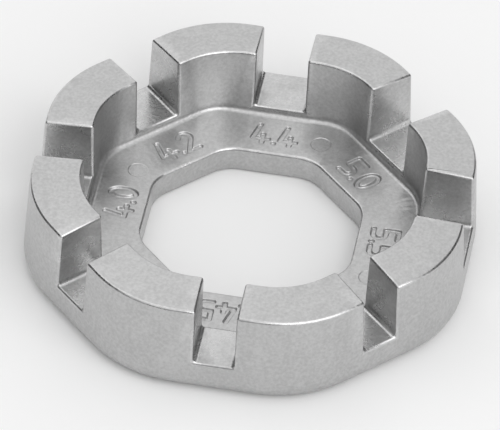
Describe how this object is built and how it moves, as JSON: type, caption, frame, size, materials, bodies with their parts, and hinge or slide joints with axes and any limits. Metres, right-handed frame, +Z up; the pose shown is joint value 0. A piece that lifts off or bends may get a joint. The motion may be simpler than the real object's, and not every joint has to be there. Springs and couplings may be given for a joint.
{
  "type": "spoke wrench",
  "caption": "Octagonal cast ring with a central hole and upright lugs, whose gaps are slots of graded widths that turn spoke nipples.",
  "frame": {"origin": "centre of the ring on its flat base plane", "axes": "+Z up out of the bowl, square to the base; +X through the widest slot; the slots lie every 45 degrees and narrow counterclockwise seen from above, from +X to the narrowest at -45 degrees"},
  "size_m": [0.037, 0.037, 0.0088],
  "materials": {
    "cast_metal": "fine-grained satin nickel plating on a casting"
  },
  "bodies": {
    "root": {"wrench_body": "cast_metal"}
  },
  "joints": []
}
